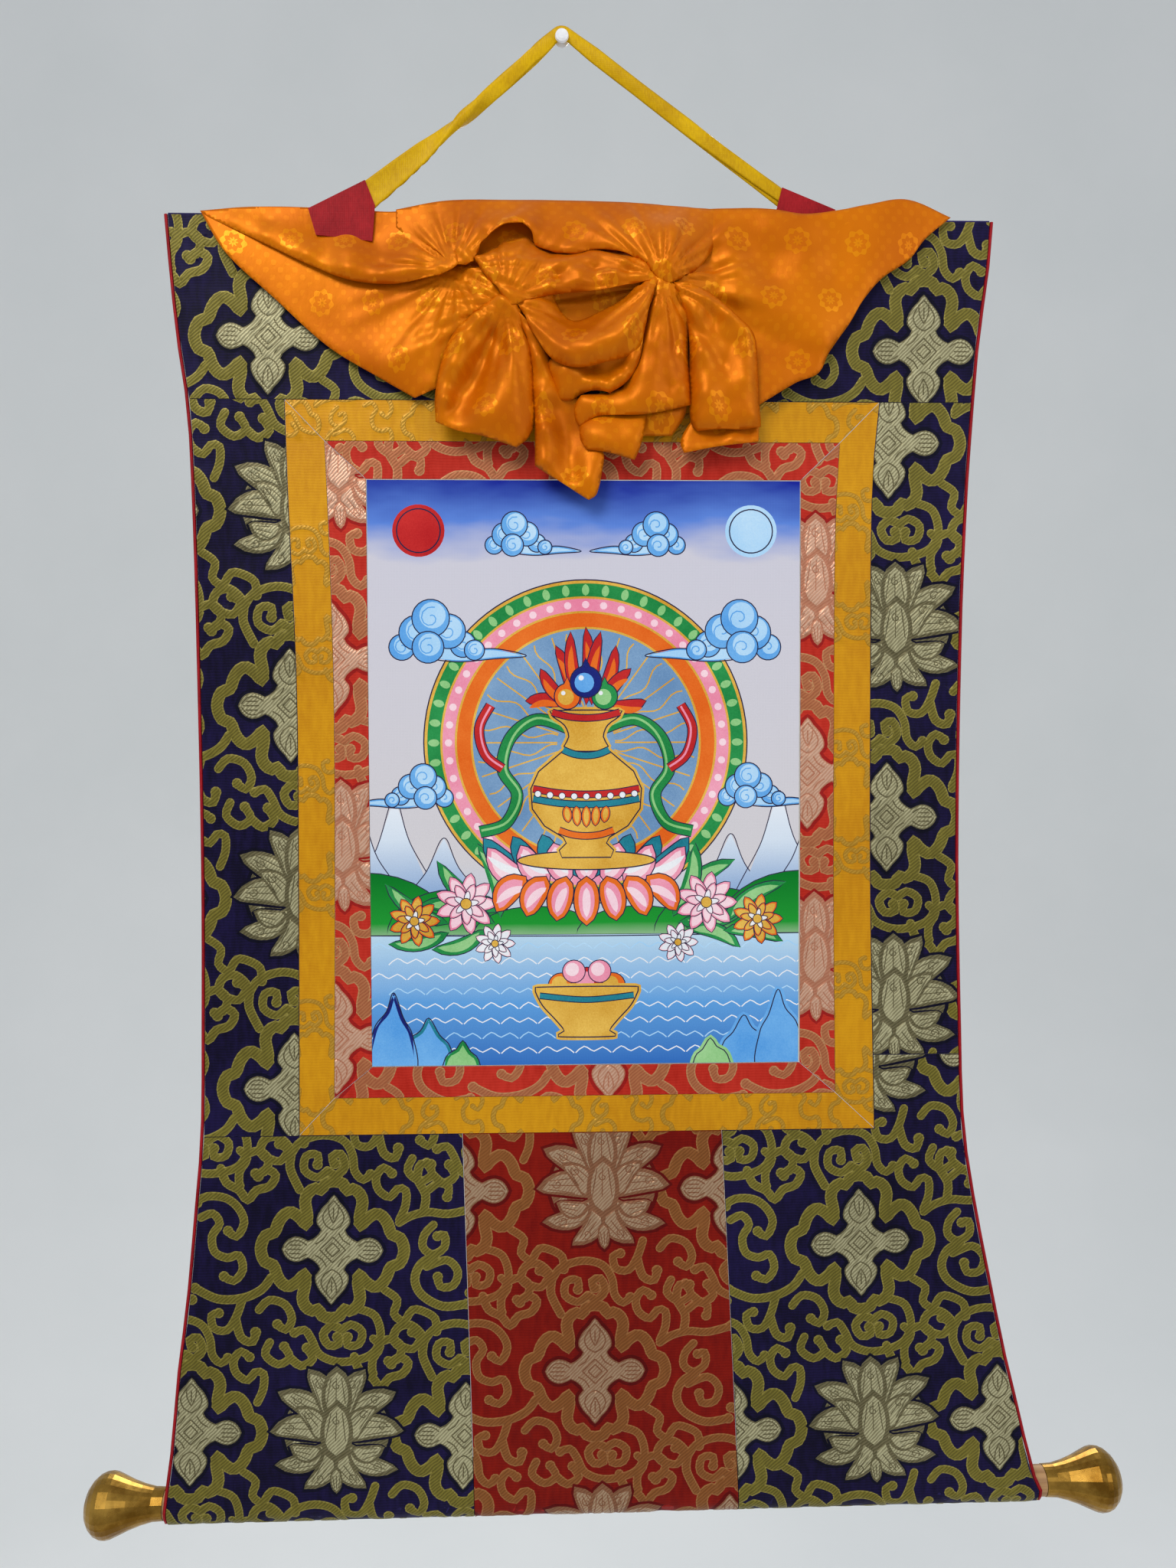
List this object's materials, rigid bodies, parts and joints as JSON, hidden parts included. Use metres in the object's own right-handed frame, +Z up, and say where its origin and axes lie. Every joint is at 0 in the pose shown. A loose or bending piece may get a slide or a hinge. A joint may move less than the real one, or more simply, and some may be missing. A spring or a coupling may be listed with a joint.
{
  "type": "scroll painting in a brocade mount with its wall pin",
  "caption": "Painted cotton panel in a flared brocade mount, with a gathered silk veil, a roller with turned brass knobs, and a hanging tape over a pin.",
  "frame": {"origin": "middle of the wall pin's flat back, where it meets the wall", "axes": "+Z up along the scroll, +Y into the wall, +X to the right as the viewer faces the picture"},
  "size_m": [0.7469, 0.0448, 1.0504],
  "materials": {
    "painted_cotton": "matt paint on fine cotton",
    "cream_piping": "matt cotton piping",
    "red_brocade": "satin brocade with metallic thread",
    "gold_brocade": "satin brocade",
    "navy_brocade": "satin brocade with metallic thread",
    "crimson_cloth": "satin cloth",
    "orange_silk": "glossy silk damask",
    "yellow_tape": "woven satin tape",
    "turned_wood": "raw turned softwood",
    "worn_brass": "polished, a little dulled",
    "white_plastic": "glossy"
  },
  "bodies": {
    "root": {"picture_panel": "painted_cotton", "picture_piping_left": "cream_piping", "picture_piping_right": "cream_piping", "picture_piping_top": "cream_piping", "picture_piping_bottom": "cream_piping", "red_border_left": "red_brocade", "red_border_right": "red_brocade", "red_border_top": "red_brocade", "red_border_bottom": "red_brocade", "gold_border_left": "gold_brocade", "gold_border_right": "gold_brocade", "gold_border_top": "gold_brocade", "gold_border_bottom": "gold_brocade", "header": "navy_brocade", "side_left": "navy_brocade", "side_right": "navy_brocade", "lower_left": "navy_brocade", "lower_right": "navy_brocade", "lower_centre": "red_brocade", "edge_cord_left": "crimson_cloth", "edge_cord_right": "crimson_cloth", "roller": "turned_wood", "knob_left": "worn_brass", "knob_right": "worn_brass", "veil": "orange_silk", "tab_left": "crimson_cloth", "tab_right": "crimson_cloth", "hanging_tape": "yellow_tape", "wall_pin": "white_plastic"}
  },
  "joints": []
}
